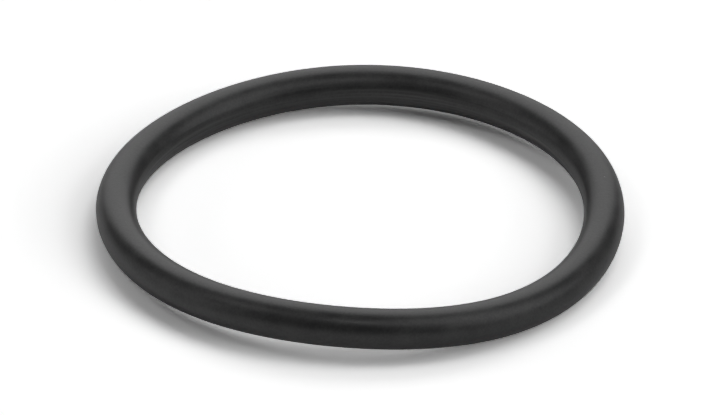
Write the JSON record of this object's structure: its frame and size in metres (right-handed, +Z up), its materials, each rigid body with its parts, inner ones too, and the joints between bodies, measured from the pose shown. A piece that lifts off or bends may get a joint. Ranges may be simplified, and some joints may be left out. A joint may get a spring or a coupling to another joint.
{
  "type": "rubber o-ring",
  "caption": "Moulded black rubber ring of round cord for sealing a groove, lying free and slightly out of flat.",
  "frame": {"origin": "on the ring's axis, on the surface that the ring lies on", "axes": "+Z up along the ring's axis; +X to the right and -Y to the front; the ring bears on the surface at azimuths of about 145 and 324 degrees from +X towards +Y"},
  "size_m": [0.065, 0.065, 0.0069],
  "materials": {
    "rubber": "satin"
  },
  "bodies": {
    "root": {"o_ring": "rubber"}
  },
  "joints": []
}
